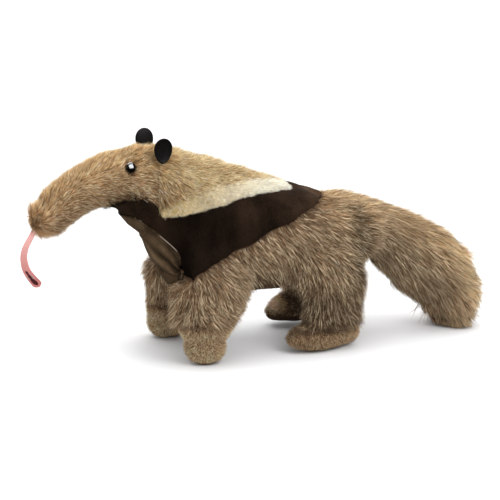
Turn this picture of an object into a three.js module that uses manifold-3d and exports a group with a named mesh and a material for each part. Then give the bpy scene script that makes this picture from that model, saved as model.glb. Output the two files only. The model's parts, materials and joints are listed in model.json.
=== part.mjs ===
// Plush giant anteater: a stuffed fabric toy that stands on four feet and on the end of its tail.
// Millimetres. The snout points to -X, the toy's left side is -Y and the floor is z = 0.
// The outline is that of the brushed pile, out to the tips of the hairs.
import * as THREE from 'three';
import { mergeVertices } from 'three/addons/utils/BufferGeometryUtils.js';
import Module from 'manifold-3d';

const wasm = await Module();
wasm.setup();

// Driving dimensions
const gap = 0.3; // free space between neighbouring pieces
const bodySides = 22; // facets around the body
const legSides = 16; // facets around a leg
const frontFoot = { length: 46, width: 40, height: 42, middle: 19 }; // middle is its height above the sole
const hindFoot = { length: 87, width: 42, height: 36, middle: 16 };
const ear = { x: -114.5, z: 204.5, fromMiddle: 27.5, width: 18, height: 28.5, thickness: 2.6, splay: 5 };
const eye = { x: -148, z: 204, fromMiddle: 24.5, diameter: 11, depth: 7, tilt: 29 };
const tongue = { width: 10, thickness: 2.2, rootTwist: 10, tipTwist: 50 };

// Sections of the body from the snout to the tail. Each is an ellipse about its middle (x, z), as high
// and as wide as the body there, and its lean tips the top of the section towards the tail in degrees.
const bodySections = [
  { at: 'snout tip', x: -238, z: 151.5, lean: -28, height: 36, width: 37 },
  { at: 'muzzle', x: -227, z: 155.5, lean: -22, height: 46.5, width: 45 },
  { at: 'snout', x: -204, z: 172.5, lean: -19, height: 48.5, width: 49 },
  { at: 'bridge', x: -181, z: 185, lean: -13, height: 52, width: 53 },
  { at: 'brow', x: -157, z: 188.5, lean: 0, height: 62, width: 59 },
  { at: 'ears', x: -128, z: 182.5, lean: 24, height: 85, width: 68 },
  { at: 'neck', x: -100, z: 163.5, lean: 28, height: 106, width: 82 },
  { at: 'chest', x: -74, z: 142.5, lean: 32, height: 132, width: 98 },
  { at: 'shoulders', x: -41, z: 122.5, lean: 30, height: 146, width: 112 },
  { at: 'girth', x: 12, z: 115, lean: 19, height: 120, width: 118 },
  { at: 'flank', x: 60, z: 109.5, lean: 9, height: 103, width: 120 },
  { at: 'hips', x: 98, z: 108.5, lean: -2, height: 94, width: 116 },
  { at: 'tail root', x: 127.5, z: 115.5, lean: 15, height: 58, width: 80 },
  { at: 'upper tail', x: 150, z: 102, lean: 20, height: 67, width: 67 },
  { at: 'tail', x: 174, z: 83.5, lean: 24, height: 81, width: 68 },
  { at: 'brush', x: 199, z: 63, lean: 24, height: 90, width: 71 },
  { at: 'lower brush', x: 217.5, z: 42, lean: 24, height: 94, width: 73 },
  { at: 'tail end', x: 231.5, z: 28, lean: 24, height: 86, width: 70 },
];
const snoutCap = 8; // how far the rounded snout reaches past its first section
const tailCap = 21;

// Sections of the left legs, from inside the body down to the ankle: level ellipses about (x, z).
// inset is how much nearer the middle of the toy the section is than the foot.
const frontLegSections = [
  { x: -64, z: 142, inset: 32, length: 36, width: 28 },
  { x: -65, z: 118, inset: 20, length: 54, width: 37 },
  { x: -68, z: 97, inset: 8, length: 73, width: 46 },
  { x: -73, z: 76, inset: 2, length: 88, width: 50 },
  { x: -77, z: 54, inset: 0, length: 79, width: 48 },
  { x: -78, z: 38, inset: 0, length: 63, width: 43 },
  { x: -79, z: 26, inset: 0, length: 48, width: 36 },
];
const hindLegSections = [
  { x: 62, z: 135, inset: 22, length: 68, width: 40 },
  { x: 60, z: 108, inset: 8, length: 89, width: 50 },
  { x: 59, z: 82, inset: 2, length: 89, width: 52 },
  { x: 64, z: 60, inset: 0, length: 72, width: 48 },
  { x: 64, z: 42, inset: 0, length: 66, width: 44 },
  { x: 62, z: 24, inset: 0, length: 60, width: 40 },
];

const knee = 54; // above this level the legs' slant is at its full

// The four legs. y is the middle of the foot and footX its place, yaw turns the toes and pitch lowers them.
// back puts the whole leg that much nearer the tail than its sections say, slant its upper part only, and
// lift raises it.
const legs = {
  front_left: { y: -57, footX: -80, yaw: 0, pitch: 0, back: 0, slant: 0, lift: 0 },
  front_right: { y: 57, footX: -79, yaw: 0, pitch: 0, back: 1, slant: 11, lift: 0 },
  hind_left: { y: -48, footX: 53, yaw: 12, pitch: 0, back: 0, slant: 0, lift: 0 },
  hind_right: { y: 56, footX: 76, yaw: -6, pitch: 9, back: 21, slant: 3, lift: 9 },
};

// Seams between the fabrics as the side view shows them, each a smooth curve through (x, z) points.
const seams = {
  maneEdge: [
    [-174, 151.6], [-168, 163.6], [-160, 169], [-145, 172], [-134, 171.6], [-125, 167.6], [-117, 161],
  ],
  bandTop: [
    [-117, 161], [-105, 169.6], [-78, 177.6], [-47, 181], [-15, 181], [10, 177], [26, 173], [55, 178.6],
  ],
  bandBottom: [[-110, 150], [-97, 154.6], [-59, 161.6], [-29, 166.6], [8, 168], [34, 167.6], [60, 172.6]],
  chest: [
    [-160, 146.6], [-147, 152.6], [-134, 145.6], [-121, 134.6], [-110, 124.6], [-100, 112],
    [-98, 92], [-98, 60],
  ],
  yokeEdge: [[-108, 89], [-87, 100], [-60, 110], [-29, 119], [1, 135], [29, 146], [57, 156], [90, 172]],
};

// Where the other pieces meet: lines through (x, z) that lean towards the tail by lean degrees, the
// level of the ankles and the outlines of the legs.
const cuts = {
  snout: { x: -177, z: 184.5, lean: -13 },
  rump: { x: 47, z: 109.5, lean: 9 },
  tailRoot: { x: 126, z: 108.5, lean: 8 },
  tailMiddle: { x: 162, z: 92.5, lean: 22 },
  tailEnd: { x: 206, z: 53.5, lean: 24 },
  ankle: 31,
  frontLeg: [[-130, 20], [-22, 20], [-22, 88], [-52, 104], [-88, 96], [-104, 88], [-130, 80]],
  hindLeg: [[8, 20], [112, 20], [112, 86], [8, 86]],
  legSide: 14, // the legs are parted from the body further out than this
  tailSide: 42, // and the tail from the hips nearer the middle than this
};

const vec = (x, y, z) => new THREE.Vector3(x, y, z);
const radians = THREE.MathUtils.degToRad;

// A closed ring of points: an ellipse with the half-axes up and side about a middle.
function ring(middle, up, side, count) {
  return Array.from({ length: count }, (_, k) => {
    const turn = (2 * Math.PI * k) / count;
    return middle.clone().addScaledVector(up, Math.cos(turn)).addScaledVector(side, Math.sin(turn));
  });
}

// Rings joined into a tube, with a fan of triangles over each end.
function tube(rings) {
  const count = rings[0].length;
  const points = rings.flat();
  const faces = [];
  for (let r = 0; r + 1 < rings.length; r++) {
    for (let k = 0; k < count; k++) {
      const a = r * count + k;
      const b = r * count + ((k + 1) % count);
      faces.push(a, b, b + count, a, b + count, a + count);
    }
  }
  for (const [r, flip] of [[0, true], [rings.length - 1, false]]) {
    const middle = points.length;
    points.push(rings[r].reduce((sum, p) => sum.add(p), vec(0, 0, 0)).divideScalar(count));
    for (let k = 0; k < count; k++) {
      const a = r * count + k;
      const b = r * count + ((k + 1) % count);
      faces.push(middle, flip ? b : a, flip ? a : b);
    }
  }
  const geometry = new THREE.BufferGeometry().setFromPoints(points);
  geometry.setIndex(faces);
  return geometry;
}

// Smooth values between sections: one curve carries the middles and another carries the sizes.
function alongSections(middles, sizes) {
  const places = new THREE.CatmullRomCurve3(middles, false, 'catmullrom', 0.5);
  const measures = new THREE.CatmullRomCurve3(sizes, false, 'catmullrom', 0.5);
  return (share) => [places.getPoint(share), measures.getPoint(share)];
}

// A dome over the end of a tube: rings that shrink by a quarter of an ellipse, reach mm long.
function dome(middle, up, side, forward, reach, count) {
  return [0.3, 0.58, 0.82].map((share) => {
    const angle = (share * Math.PI) / 2;
    const shrink = Math.cos(angle);
    const place = middle.clone().addScaledVector(forward, reach * Math.sin(angle));
    return ring(place, up.clone().multiplyScalar(shrink), side.clone().multiplyScalar(shrink), count);
  });
}

function body() {
  const at = alongSections(
    bodySections.map((s) => vec(s.x, 0, s.z)),
    bodySections.map((s) => vec(s.lean, s.height, s.width)),
  );
  const axes = (share) => {
    const [middle, size] = at(share);
    const lean = radians(size.x);
    const up = vec(Math.sin(lean), 0, Math.cos(lean));
    const back = vec(Math.cos(lean), 0, -Math.sin(lean));
    return { middle, up: up.multiplyScalar(size.y / 2), side: vec(0, size.z / 2, 0), back };
  };
  const steps = 2 * (bodySections.length - 1);
  const rings = Array.from({ length: steps + 1 }, (_, i) => {
    const s = axes(i / steps);
    return ring(s.middle, s.up, s.side, bodySides);
  });
  const front = axes(0);
  const rear = axes(1);
  const nose = dome(front.middle, front.up, front.side, front.back.clone().negate(), snoutCap, bodySides);
  const end = dome(rear.middle, rear.up, rear.side, rear.back, tailCap, bodySides);
  return tube([...nose.reverse(), ...rings, ...end]);
}

function leg(name, { y, back, slant, lift }) {
  const sections = name.startsWith('front') ? frontLegSections : hindLegSections;
  const shift = (z) => back + slant * THREE.MathUtils.smoothstep(z, sections.at(-1).z, knee);
  const at = alongSections(
    sections.map((s) => vec(s.x + shift(s.z), y - Math.sign(y) * s.inset, s.z + lift)),
    sections.map((s) => vec(s.length, s.width, 0)),
  );
  const steps = 2 * (sections.length - 1);
  return tube(Array.from({ length: steps + 1 }, (_, i) => {
    const [middle, size] = at(i / steps);
    return ring(middle, vec(size.x / 2, 0, 0), vec(0, size.y / 2, 0), legSides);
  }));
}

// A foot is a flattened ball; the floor cuts its sole flat.
function foot(name, { y, footX, yaw, pitch, lift }) {
  const size = name.startsWith('front') ? frontFoot : hindFoot;
  const ball = new THREE.SphereGeometry(0.5, legSides, 10);
  ball.scale(size.length, size.width, size.height);
  ball.rotateY(radians(-pitch));
  ball.rotateZ(radians(yaw));
  return ball.translate(footX, y, size.middle + lift);
}

function signedVolume(points, faces) {
  let sum = 0;
  for (let f = 0; f < faces.length; f += 3) {
    const [a, b, c] = [0, 1, 2].map((k) => vec(...points.subarray(3 * faces[f + k], 3 * faces[f + k] + 3)));
    sum += a.dot(b.cross(c)) / 6;
  }
  return sum;
}

// The solid inside a closed geometry, with its faces turned outwards.
function solid(geometry) {
  const shared = geometry.clone();
  shared.deleteAttribute('normal');
  shared.deleteAttribute('uv');
  const merged = mergeVertices(shared, 1e-4);
  const vertProperties = new Float32Array(merged.attributes.position.array);
  const triVerts = new Uint32Array(merged.index.array);
  if (signedVolume(vertProperties, triVerts) < 0) {
    triVerts.reverse();
  }
  return new wasm.Manifold(new wasm.Mesh({ numProp: 3, vertProperties, triVerts }));
}

function toyBody() {
  const floor = new THREE.BoxGeometry(900, 400, 100).translate(0, 0, -50);
  const limbs = Object.entries(legs).flatMap(([name, place]) => [leg(name, place), foot(name, place)]);
  return limbs.reduce((sum, shape) => sum.add(solid(shape)), solid(body())).subtract(solid(floor));
}

// An ear is a flat leaf of stiff cloth: pointed where it is sewn in, round at the top, leaning out by splay.
// A margin makes it that much bigger all round, for the slot that it stands in.
function earLeaf(side, margin = 0) {
  const half = ear.width / 2 + margin;
  const top = ear.height + margin;
  const outline = new THREE.Shape();
  outline.moveTo(0, -margin);
  outline.bezierCurveTo(0.7 * half, 0.12 * top, half, 0.35 * top, half, 0.62 * top);
  outline.bezierCurveTo(half, 0.87 * top, 0.55 * half, top, 0, top);
  outline.bezierCurveTo(-0.55 * half, top, -half, 0.87 * top, -half, 0.62 * top);
  outline.bezierCurveTo(-half, 0.35 * top, -0.7 * half, 0.12 * top, 0, -margin);
  const thickness = ear.thickness + 2 * margin;
  const leaf = new THREE.ExtrudeGeometry(outline, { depth: thickness, bevelEnabled: false, curveSegments: 5 });
  leaf.translate(0, 0, -thickness / 2);
  leaf.rotateX(radians(90 - side * ear.splay));
  return leaf.translate(ear.x, side * ear.fromMiddle, ear.z);
}

function eyeDome(side, margin = 0) {
  const ball = new THREE.SphereGeometry(0.5, 14, 8);
  ball.scale(eye.diameter + 2 * margin, eye.depth + 2 * margin, eye.diameter + 2 * margin);
  ball.rotateX(radians(side * eye.tilt));
  return ball.translate(eye.x, side * eye.fromMiddle, eye.z);
}

// The tongue is a narrow strip of felt that comes out of the mouth, hangs and curls, and turns its flat
// side outwards towards the tip.
function tongueStrip(margin = 0) {
  const path = new THREE.CatmullRomCurve3([
    vec(-234, 0, 148.5), vec(-242, 0, 143), vec(-248.5, 0, 133), vec(-254, 0, 123.5), vec(-256, 0, 113.5),
    vec(-254, 0, 102), vec(-248.5, 0, 92.5), vec(-240, 0, 82),
  ]);
  const steps = 16;
  return tube(Array.from({ length: steps + 1 }, (_, i) => {
    const onward = path.getTangentAt(i / steps);
    const twist = radians(THREE.MathUtils.lerp(tongue.rootTwist, tongue.tipTwist, (i / steps) ** 2));
    const upright = vec(-onward.z, 0, onward.x);
    const broad = vec(0, -Math.cos(twist), 0).addScaledVector(upright, Math.sin(twist));
    const through = broad.clone().cross(onward).multiplyScalar(tongue.thickness / 2 + margin);
    return ring(path.getPointAt(i / steps), broad.multiplyScalar(tongue.width / 2 + margin), through, 8);
  }));
}

// The space inside an outline of (x, z) points, from one y to another.
function slab({ outline, from, to }) {
  const shape = new THREE.Shape(outline.map(([x, z]) => new THREE.Vector2(x, z)));
  const block = new THREE.ExtrudeGeometry(shape, { depth: to - from, bevelEnabled: false });
  return block.rotateX(radians(90)).translate(0, to, 0);
}

// A region with its outline moved out by the gap, which is what its neighbours keep clear of. Each corner
// moves along the middle of its two edges' normals.
function widened({ outline, from, to }) {
  const turn = Math.sign(THREE.ShapeUtils.area(outline.map(([x, z]) => new THREE.Vector2(x, z))));
  const corner = (k) => new THREE.Vector2(...outline[(k + outline.length) % outline.length]);
  const normal = (k) => {
    const edge = corner(k + 1).sub(corner(k)).normalize();
    return new THREE.Vector2(edge.y, -edge.x).multiplyScalar(turn);
  };
  const moved = outline.map((_, k) => {
    const [one, two] = [normal(k - 1), normal(k)];
    const out = one.clone().add(two).multiplyScalar(gap / (1 + one.dot(two)));
    return corner(k).add(out).toArray();
  });
  return { outline: moved, from: from - gap, to: to + gap };
}

// The points of a seam, evenly spaced along its smooth curve.
function alongSeam(seam, count = 12) {
  const curve = new THREE.SplineCurve(seam.map(([x, z]) => new THREE.Vector2(x, z)));
  return curve.getSpacedPoints(count).map((p) => [p.x, p.y]);
}

// The outline of all that lies behind a leaning line through (x, z), out to the far side.
function behind({ x, z, lean }, far = 400) {
  const slope = Math.tan(radians(lean));
  return [[x - slope * 300, z - 300], [far, z - 300], [far, z + 300], [x + slope * 300, z + 300]];
}

const sky = 300;
const under = -20;
const reach = 200; // past the toy's sides
const box = (x1, z1, x2, z2) => [[x1, z1], [x2, z1], [x2, z2], [x1, z2]];
const region = (name, outline, from = -reach, to = reach) => [name, { outline, from, to }];
const edge = Object.fromEntries(Object.entries(seams).map(([name, seam]) => [name, alongSeam(seam)]));
const band = [...edge.bandTop, ...edge.bandBottom.toReversed()];

// The pieces in the order they are parted: each takes what its region still holds of the toy.
const regions = [
  region('tail_end', behind(cuts.tailEnd)),
  region('tail_middle', behind(cuts.tailMiddle)),
  region('tail_root', behind(cuts.tailRoot), -cuts.tailSide, cuts.tailSide),
  region('snout', behind(cuts.snout, -400)),
  region('head', [[-220, sky], [-117, sky], ...edge.maneEdge.toReversed(), [-220, 146]]),
  region('neck', [[-117, sky], [55, sky], ...edge.bandTop.toReversed()]),
  region('band_left', band, -reach, -gap / 2),
  region('band_right', band, gap / 2, reach),
];
for (const [name, { y, back, lift }] of Object.entries(legs)) {
  const sides = y < 0 ? [-reach, -cuts.legSide] : [cuts.legSide, reach];
  const outline = name.startsWith('front') ? cuts.frontLeg : cuts.hindLeg;
  const rear = Math.max(...outline.map(([x]) => x));
  const shifted = outline.map(([x, z]) => [x === rear ? x + back : x, z]);
  const front = outline[0][0];
  regions.push(
    region(`foot_${name}`, box(front, under, rear + back, cuts.ankle + lift), ...sides),
    region(`leg_${name}`, shifted, ...sides),
  );
}
regions.push(
  region('chest', [...edge.chest, [-200, 60], [-200, 146]]),
  region('yoke', [[-200, sky], [90, sky], ...edge.yokeEdge.toReversed(), [-200, 60]]),
  region('hindquarters', behind(cuts.rump)),
  region('trunk', box(-200, under, 200, sky)),
);

const colours = {
  snout: '#94785a', head: '#a08464', neck: '#b39570', band: '#e2cfa4', yoke: '#20170f', chest: '#5f5244',
  trunk: '#6f5b48', hindquarters: '#7a654f', leg: '#6b5844', foot: '#74614b', tail: '#7d6850',
  ear: '#201f1c', eye: '#0b0a0a', tongue: '#dfa6a2',
};

function mesh(name, shape) {
  const { vertProperties, triVerts } = shape.getMesh();
  const geometry = new THREE.BufferGeometry();
  geometry.setAttribute('position', new THREE.Float32BufferAttribute(vertProperties, 3));
  geometry.setIndex(Array.from(triVerts));
  const kind = name.split('_')[0];
  const glossy = kind === 'eye';
  const material = new THREE.MeshStandardMaterial({
    color: colours[kind], roughness: glossy ? 0.08 : 0.95, metalness: 0,
  });
  const result = new THREE.Mesh(geometry, material);
  result.name = name;
  return result;
}

// The biggest part of a solid, without the crumbs that a cut can leave at a corner.
function biggest(shape) {
  return shape.decompose().reduce((best, part) => (part.volume() > best.volume() ? part : best));
}

const anteater = new THREE.Group();
const trims = [
  ['ear_left', (margin) => earLeaf(-1, margin)],
  ['ear_right', (margin) => earLeaf(1, margin)],
  ['eye_left', (margin) => eyeDome(-1, margin)],
  ['eye_right', (margin) => eyeDome(1, margin)],
  ['tongue', tongueStrip],
];
let rest = toyBody();
for (const [name, shape] of trims) {
  anteater.add(mesh(name, solid(shape())));
  rest = rest.subtract(solid(shape(gap)));
}
for (const [name, space] of regions) {
  anteater.add(mesh(name, biggest(rest.intersect(solid(slab(space))))));
  rest = rest.subtract(solid(slab(widened(space))));
}

export default anteater;
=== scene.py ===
"""A plush giant anteater, seen from its left side as in the photo.

The toy is a cover sewn from five fabrics over one soft filling, with cut-out ears, plastic eyes and a felt
tongue. Each cover piece lies inside the frame's solids by the depth of its own pile, and the pile stands on
it as thin tufts. Places are in metres in the frame. Numbers handed to mm(), rise(), bell(), profile(),
distance() and the curves are millimetres.
"""
import json
import bmesh
import bpy
import numpy as np
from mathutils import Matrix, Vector

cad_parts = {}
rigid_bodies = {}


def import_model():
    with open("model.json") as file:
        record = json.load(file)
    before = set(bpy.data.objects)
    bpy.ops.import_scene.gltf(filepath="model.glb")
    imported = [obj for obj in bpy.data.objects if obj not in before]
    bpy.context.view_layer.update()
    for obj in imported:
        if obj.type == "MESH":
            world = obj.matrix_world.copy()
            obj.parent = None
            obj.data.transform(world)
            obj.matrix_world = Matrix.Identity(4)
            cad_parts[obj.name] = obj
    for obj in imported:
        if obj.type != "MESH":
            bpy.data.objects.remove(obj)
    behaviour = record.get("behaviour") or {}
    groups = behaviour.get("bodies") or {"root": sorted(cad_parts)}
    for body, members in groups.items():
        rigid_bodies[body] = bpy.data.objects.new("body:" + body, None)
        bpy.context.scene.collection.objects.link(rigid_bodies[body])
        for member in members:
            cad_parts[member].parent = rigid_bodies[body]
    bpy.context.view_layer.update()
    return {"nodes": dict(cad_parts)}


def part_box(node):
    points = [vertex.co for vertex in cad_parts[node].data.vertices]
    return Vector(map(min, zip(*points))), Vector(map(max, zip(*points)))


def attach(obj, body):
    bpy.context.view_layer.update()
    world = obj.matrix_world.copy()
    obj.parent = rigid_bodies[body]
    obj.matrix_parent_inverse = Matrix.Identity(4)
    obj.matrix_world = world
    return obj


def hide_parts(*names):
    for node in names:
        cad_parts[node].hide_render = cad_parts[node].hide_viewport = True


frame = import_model()


# The shape of the stuffed toy
# One filled cover runs from the snout to the tail. The frame's solids, joined and relaxed, give the outline
# of its brushed pile; the fabric itself lies a pile's depth further in.
def mm(value):
    """Millimetres as metres."""
    return np.asarray(value, float) * 0.001


def unit(vectors, least=0.0):
    """The vectors divided by their lengths, or by the least length where that is more."""
    return vectors / np.maximum(np.linalg.norm(vectors, axis=-1, keepdims=True), least)


def read(items, name, width, kind=float):
    """One property of all the items, an array of so many columns."""
    values = np.empty(len(items) * width, kind)
    items.foreach_get(name, values)
    return values.reshape(-1, width)


def set_up(thing, **settings):
    """The thing with its settings."""
    for key, value in settings.items():
        setattr(thing, key, value)
    return thing


def new_object(name, data, **settings):
    """A new object in the scene with its settings."""
    result = set_up(bpy.data.objects.new(name, data), **settings)
    bpy.context.scene.collection.objects.link(result)
    return result


def triangles(mesh, merge):
    """Corners and triangles of a mesh as arrays, with corners closer than merge made one."""
    mesh.calc_loop_triangles()
    points, faces = read(mesh.vertices, "co", 3), read(mesh.loop_triangles, "vertices", 3, np.int64)
    if merge:
        _, first, same = np.unique(np.round(points / merge), axis=0, return_index=True, return_inverse=True)
        points, faces = points[first], same.ravel()[faces]
    return points, faces[(faces != np.roll(faces, 1, axis=1)).all(1)]


def joined(meshes):
    """The corners and the triangles of several meshes as those of one."""
    starts = np.cumsum([0] + [len(points) for points, *_ in meshes])
    return (np.concatenate([points for points, *_ in meshes]),
            np.concatenate([faces + start for (_, faces, *_), start in zip(meshes, starts)]))


def mesh_object(name, points, faces):
    """A new object at the origin from arrays of corners and of faces with equally many corners each."""
    mesh = bpy.data.meshes.new(name)
    mesh.vertices.add(len(points))
    mesh.vertices.foreach_set("co", np.asarray(points, np.float32).ravel())
    mesh.loops.add(faces.size)
    mesh.loops.foreach_set("vertex_index", faces.astype(np.int32).ravel())
    mesh.polygons.add(len(faces))
    mesh.polygons.foreach_set("loop_start", np.arange(0, faces.size, faces.shape[1], dtype=np.int32))
    mesh.polygons.foreach_set("use_smooth", np.ones(len(faces), bool))
    mesh.update(calc_edges=True)
    mesh.validate()
    return new_object(name, mesh)


def edges_of(faces, **also):
    """Each edge of the triangles once, and what else numpy's unique is asked for."""
    return np.unique(np.sort(faces[:, [0, 1, 1, 2, 2, 0]].reshape(-1, 2), axis=1), axis=0, **also)


def relaxed(values, edges, times=1, share=0.5, back=0.0):
    """Values moved some times by a share of the way to the mean of their neighbours' along the edges, and
    each time by the share back away from it again, against shrinking."""
    count = len(values)
    ends = np.concatenate([edges, edges[:, ::-1]])
    near = np.bincount(ends[:, 0], minlength=count)[:, None]
    flat = values.reshape(count, -1)
    for part in ([share, -back] if back else [share]) * times:
        total = np.stack([np.bincount(ends[:, 0], c[ends[:, 1]], count) for c in flat.T], 1)
        flat = flat + part * (total / near - flat)
    return flat.reshape(values.shape)


def normals_of(points, faces):
    """Unit normals at the corners, each the sum of the area vectors of the triangles round it."""
    a, b, c = (points[faces[:, k]] for k in range(3))
    area = np.cross(b - a, c - a)
    return unit(np.stack([sum(np.bincount(faces[:, k], part, len(points)) for k in range(3))
                          for part in area.T], 1), 1e-12)


trims = ("ear_left", "ear_right", "eye_left", "eye_right", "tongue")
voxel = mm(2.2)
rough = mesh_object("rough", *joined([triangles(bpy.data.objects[name].data, 1e-5)
                                      for name in frame["nodes"] if name not in trims]))
set_up(rough.modifiers.new("remesh", "REMESH"), mode="VOXEL", voxel_size=voxel)
even = bpy.data.meshes.new_from_object(rough.evaluated_get(bpy.context.evaluated_depsgraph_get()))
form, form_faces = triangles(even, 0)
bpy.data.objects.remove(rough)
bpy.data.meshes.remove(even)
form = relaxed(form, edges_of(form_faces), 14, 0.5, 0.52)


# The cutting lines of the fabrics, as the side view shows them
# Each seam is a smooth line through a few points in millimetres, the same on both sides of the toy: (x, z)
# where it runs along the toy, (z, x) where it runs up.
def smooth_line(points, steps=12):
    """Points along a smooth curve through the given ones: each span is a cubic, whose slope at each end is
    half the chord between the points on both sides of that end."""
    p = np.asarray(points, float)
    p = np.concatenate([2 * p[:1] - p[1:2], p, 2 * p[-1:] - p[-2:-1]])
    t = np.linspace(0, 1, steps, endpoint=False)[:, None]
    a, b, c, d = p[:-3, None], p[1:-2, None], p[2:-1, None], p[3:, None]
    spans = 0.5 * (2 * b + (c - a) * t + (2 * a - 5 * b + 4 * c - d) * t**2
                   + (3 * b - a - 3 * c + d) * t**3)
    return mm(np.concatenate([spans.reshape(-1, 2), p[-2:-1]]))


def over(line, across, along):
    """Distance of places past a line, from their coordinate across it and the one it runs along."""
    height = np.interp(along, line[:, 0], line[:, 1])
    ahead = np.interp(along + mm(0.5), line[:, 0], line[:, 1])
    return (across - height) / np.hypot(1, (ahead - height) / mm(0.5))


def rise(value, start, length):
    """From 0 at the start to 1 a length further on, both in millimetres; below nought it runs downwards."""
    return np.clip((value - mm(start)) / mm(length), 0, 1)


def bell(away, width):
    """From 1 at no distance to 0 far away: e to the minus square of the distance over the width in mm."""
    return np.exp(-(away / mm(width)) ** 2)


mane_edge = smooth_line([(-190, 120), (-178, 144), (-174, 151.6), (-168, 163.6), (-160, 169), (-145, 172),
                         (-134, 171.6), (-127, 167.6), (-121.5, 160.5)])
band_bottom = smooth_line([(-118, 152.4), (-107, 153.6), (-92, 156.2), (-59, 162.4), (-29, 169), (8, 170.4),
                           (34, 169.8), (60, 172.6), (90, 220), (260, 400)])
band_top = smooth_line([(-121.5, 160.5), (-105, 169.6), (-78, 177.8), (-47, 182), (-15, 183), (10, 179.4),
                        (26, 175), (55, 178.6), (90, 220), (260, 400)])
yoke_edge = smooth_line([(-130, 77), (-108, 87.4), (-98, 92.2), (-86, 100.2), (-60, 110.2), (-29, 119.4),
                         (1, 135), (29, 146), (57, 156), (90, 172), (150, 260), (260, 400)])
chest_edge = smooth_line([(40, -98), (92, -98), (112, -100), (124.6, -110), (134.6, -121), (145.6, -134),
                          (152.6, -147), (160, -170), (260, -400)])
belly_width = smooth_line([(-118, 20), (-98, 22), (-40, 27), (-24, 40), (-14, 45), (4, 45), (14, 38),
                           (24, 27), (50, 22), (60, -40)])
chin_line = mm([(-260, 100), (-160, 146.6), (-147, 152.6), (300, 359)])
band_gap = mm([(27, -4), (29, 3), (34, 7), (42, 12), (60, 18), (120, 40)])
pale_line = np.concatenate([mane_edge, band_bottom])
crease_x = mm(-121.5)


def seam_fields(points):
    """Signed distances from the seams: each is positive on the side that its name tells."""
    x, y, z = points.T
    sleeve = mm(34) + 0.3 * (z - mm(78))
    outside = np.maximum(over(chest_edge, x, z), over(chin_line, z, x))
    panel = np.minimum(-outside, np.maximum(sleeve - abs(y), z - mm(100)))
    belly = np.minimum(np.interp(x, *belly_width.T) - abs(y), mm(77) - z)
    gap = np.where(x > band_gap[0, 0], abs(y) - np.interp(x, *band_gap.T), mm(9))
    return {
        "pale": np.minimum(over(pale_line, z, x), gap),
        "neck": x - crease_x,
        "over_band": over(band_top, z, x),
        "right": y,
        "yoke": over(yoke_edge, z, x),
        "panel": np.maximum(panel, np.minimum(belly, mm(48) - x)),
    }


def parted(points, faces, field):
    """The triangles cut along field = 0, so that each lies wholly on one side; new corners are shared."""
    field = np.where(abs(field) < 1e-7, 1e-7, field)
    side = field[faces] > 0
    crossed = side.any(1) & ~side.all(1)
    lone_side = side[crossed].sum(1) == 1
    lone = np.argmax(side[crossed] == lone_side[:, None], axis=1)
    a, b, c = np.take_along_axis(faces[crossed], (lone[:, None] + np.arange(3)) % 3, 1).T
    cut = np.sort(np.concatenate([np.stack([a, b], 1), np.stack([a, c], 1)]), axis=1)
    pairs, place = np.unique(cut, axis=0, return_inverse=True)
    p, q = place.ravel().reshape(2, -1) + len(points)
    share = (field[pairs[:, 0]] / (field[pairs[:, 0]] - field[pairs[:, 1]]))[:, None]
    new = points[pairs[:, 0]] * (1 - share) + points[pairs[:, 1]] * share
    pieces = [np.stack(three, 1) for three in ((a, p, q), (p, b, c), (p, c, q))]
    return np.concatenate([points, new]), np.concatenate([faces[~crossed]] + pieces)


for seam in list(seam_fields(form)):
    form, form_faces = parted(form, form_faces, seam_fields(form)[seam])

legs = ("front_left", "front_right", "hind_left", "hind_right")
leg_centres = mm([(-78, -57), (-72, 57), (60, -48), (84, 56)])
sole_tops = mm([3, 3, 3, 15])
ankles = mm([47, 40, 29, 42])


def nearest_leg(points):
    """For each place, the index of the leg whose middle is nearest in the plan."""
    return np.argmin(np.linalg.norm(points[:, None, :2] - leg_centres, axis=2), axis=1)


def above_ankle(points):
    """How far each place is above the nearest leg's ankle, where its long pile ends and the foot begins."""
    return points[:, 2] - ankles[nearest_leg(points)]


def on_leg(points):
    """From 0 on the trunk to 1 on the legs: low, off the middle and near a leg's middle."""
    _, y, z = points.T
    reach = np.linalg.norm((points[:, None, :2] - leg_centres) / mm([52, 40]), axis=2).min(1)
    return rise(z, 112, -34) * np.clip((1.25 - reach) / 0.4, 0, 1) * rise(abs(y), 12, 14)


fabrics = ("head", "neck", "band_left", "band_right", "yoke", "panel", "body", "feet", "soles")
pile_depth = mm([4.4, 4.8, 2.4, 2.4, 0.4, 0.2, 7.5, 2.2, 0.4])


def fabric_of(points):
    """The fabric at each place, as its index in fabrics: the first in the list whose test holds."""
    s = seam_fields(points)
    pale, foot = s["pale"] > 0, (above_ankle(points) < 0) & (on_leg(points) > 0.5)
    tests = {"head": pale & (s["neck"] < 0), "neck": pale & (s["over_band"] > 0),
             "band_right": pale & (s["right"] > 0), "band_left": pale, "panel": s["panel"] > 0,
             "yoke": s["yoke"] > 0, "soles": foot & (points[:, 2] < sole_tops[nearest_leg(points)]),
             "feet": foot}
    return np.select(list(tests.values()), [fabrics.index(name) for name in tests], fabrics.index("body"))


def made_of(fabric, *names):
    """Whether each index in fabric is that of one of the named fabrics."""
    return np.isin(fabric, [fabrics.index(name) for name in names])


def from_eye(points):
    """The distance from the middle of the eye on the same side."""
    return np.linalg.norm(points * [1, 0, 1] + abs(points) * [0, 1, 0] - eye_centre, axis=1)


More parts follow.
